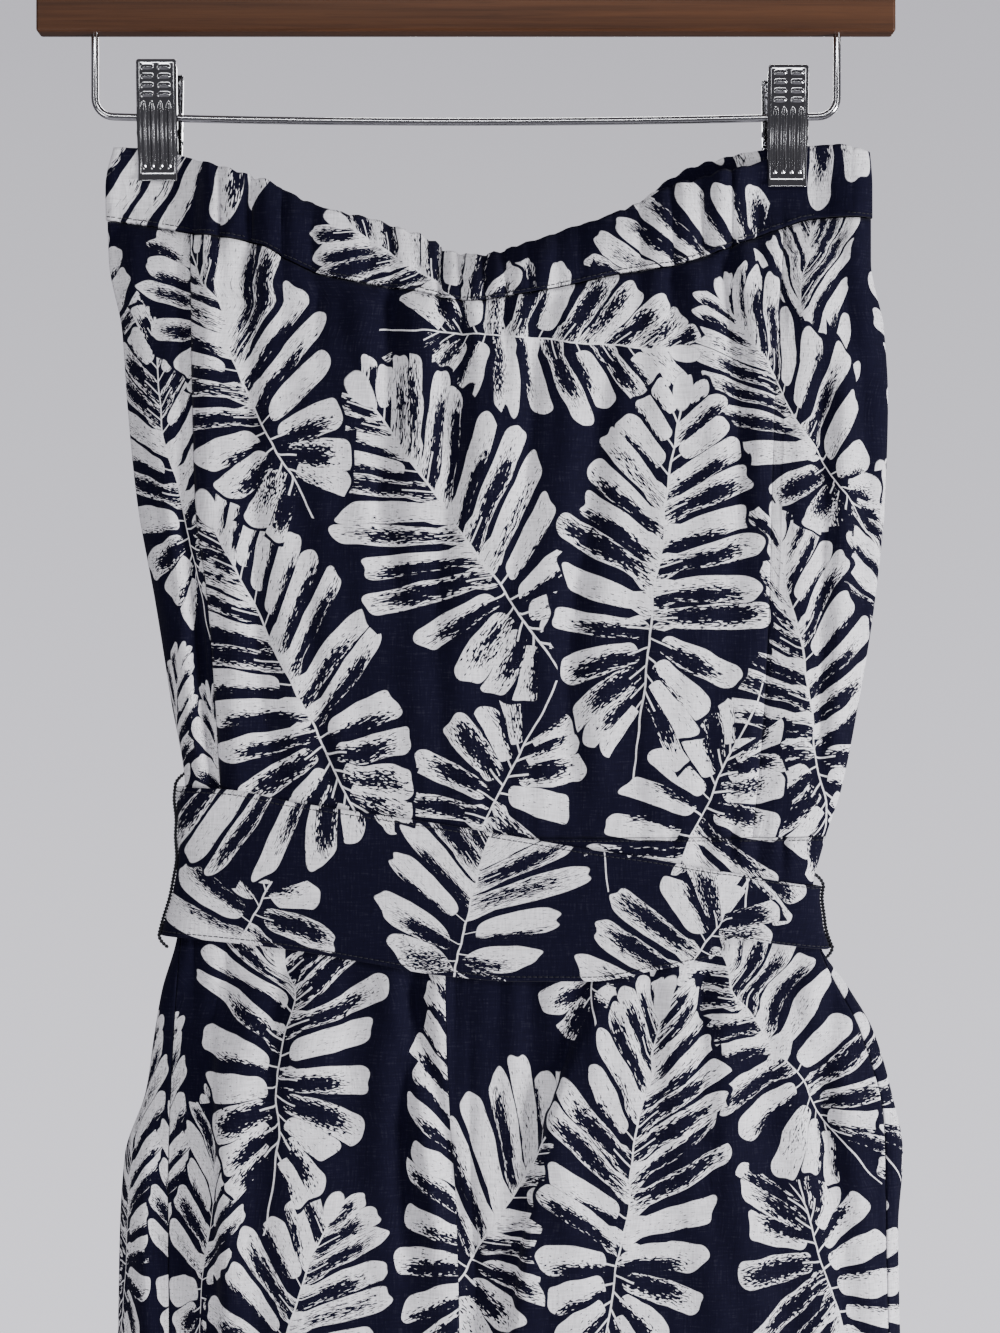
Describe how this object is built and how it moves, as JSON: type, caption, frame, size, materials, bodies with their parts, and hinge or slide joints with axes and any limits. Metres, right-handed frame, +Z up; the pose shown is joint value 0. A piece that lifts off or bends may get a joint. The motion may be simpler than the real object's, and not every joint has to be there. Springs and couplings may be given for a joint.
{
  "type": "strapless romper on a clip hanger",
  "caption": "Strapless navy and white leaf-print romper with elastic top, gathered waist and tie belt, clipped to a straight wooden hanger.",
  "frame": {"origin": "inside crown of the hanger's hook, where a rail carries it", "axes": "+Z up, +X to the viewer's right, the garment's front faces -Y"},
  "size_m": [0.4375, 0.0669, 0.9187],
  "materials": {
    "navy_leaf_linen": "matte printed linen weave",
    "black_thread": "twisted thread",
    "stained_wood": "satin lacquer",
    "chrome": "polished",
    "bright_steel": "bright wire"
  },
  "bodies": {
    "root": {"band_front": "navy_leaf_linen", "band_back": "navy_leaf_linen", "bodice_front": "navy_leaf_linen", "bodice_back": "navy_leaf_linen", "bodice_side_left": "navy_leaf_linen", "bodice_side_right": "navy_leaf_linen", "waist_front": "navy_leaf_linen", "waist_back": "navy_leaf_linen", "belt": "navy_leaf_linen", "belt_loop_left": "black_thread", "belt_loop_right": "black_thread", "leg_front_left": "navy_leaf_linen", "leg_front_right": "navy_leaf_linen", "leg_back_left": "navy_leaf_linen", "leg_back_right": "navy_leaf_linen", "hanger_bar": "stained_wood", "hanger_hook": "bright_steel", "hanger_rod": "bright_steel", "clip_left_front": "chrome", "clip_left_back": "chrome", "clip_left_spring": "bright_steel", "clip_right_front": "chrome", "clip_right_back": "chrome", "clip_right_spring": "bright_steel"}
  },
  "joints": []
}
